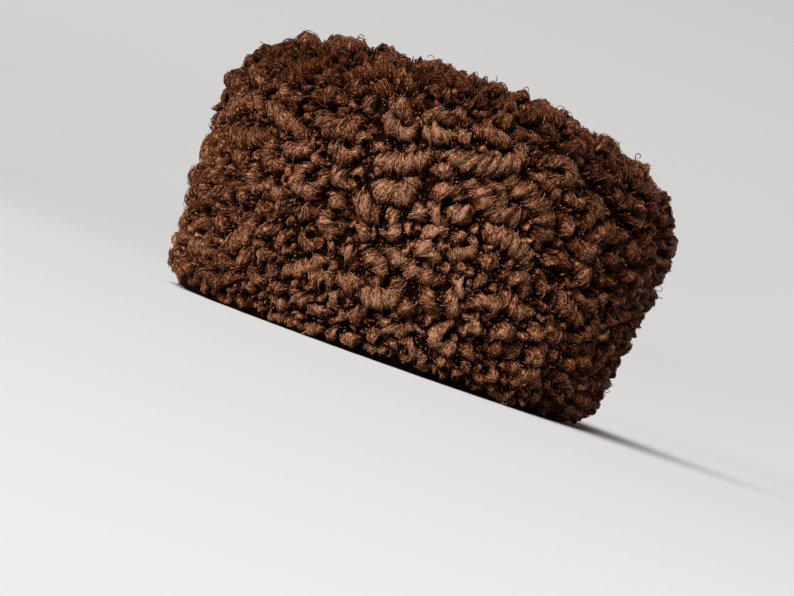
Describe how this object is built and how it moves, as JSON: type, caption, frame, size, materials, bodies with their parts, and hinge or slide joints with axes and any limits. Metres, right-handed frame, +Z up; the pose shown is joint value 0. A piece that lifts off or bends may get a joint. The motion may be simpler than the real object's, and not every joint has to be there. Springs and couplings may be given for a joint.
{
  "type": "fur hat",
  "caption": "Tall oval hat of tightly curled brown lambskin, with a rounded shoulder, a slightly domed crown and an open head hollow.",
  "frame": {"origin": "middle of the hat's outline seen from above, on the surface that the rim rests on", "axes": "+Z up from the rim to the crown, -Y towards the hat's front, +X towards the wearer's left"},
  "size_m": [0.2292, 0.2579, 0.1368],
  "materials": {
    "side_fur": "dark brown tightly curled lambskin, soft sheen along the curls",
    "crown_fur": "dark brown tightly curled lambskin, seen against the light"
  },
  "bodies": {
    "root": {"side_band": "side_fur", "crown_top": "crown_fur"}
  },
  "joints": []
}
